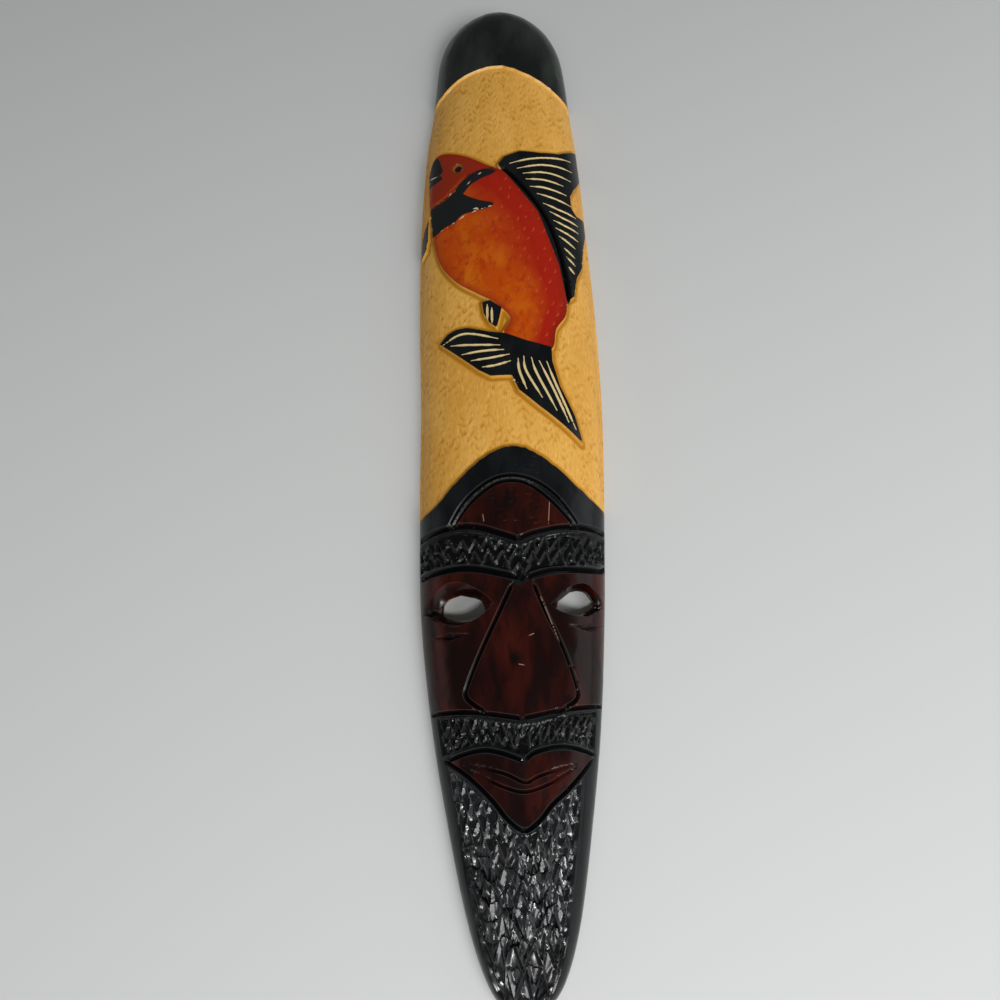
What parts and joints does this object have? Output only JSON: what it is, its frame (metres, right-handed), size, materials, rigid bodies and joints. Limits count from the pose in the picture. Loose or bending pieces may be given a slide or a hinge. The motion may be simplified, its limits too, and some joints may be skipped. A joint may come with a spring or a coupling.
{
  "type": "carved wall mask",
  "caption": "Long domed wooden wall mask, hollow behind, with eye holes, a bearded face in knife-cut lines and a painted fish in low relief.",
  "frame": {"origin": "middle of the mask's bounding box, on the plane of the back rim that it lies on", "axes": "+Y towards the crown, +Z out of the front, +X to the right of the face as it is looked at"},
  "size_m": [0.1718, 1, 0.0447],
  "materials": {
    "carved_painted_wood": "painted black, ochre, red and dark brown over carved light wood, varnished; bare adzed wood behind"
  },
  "bodies": {
    "root": {"mask": "carved_painted_wood"}
  },
  "joints": []
}
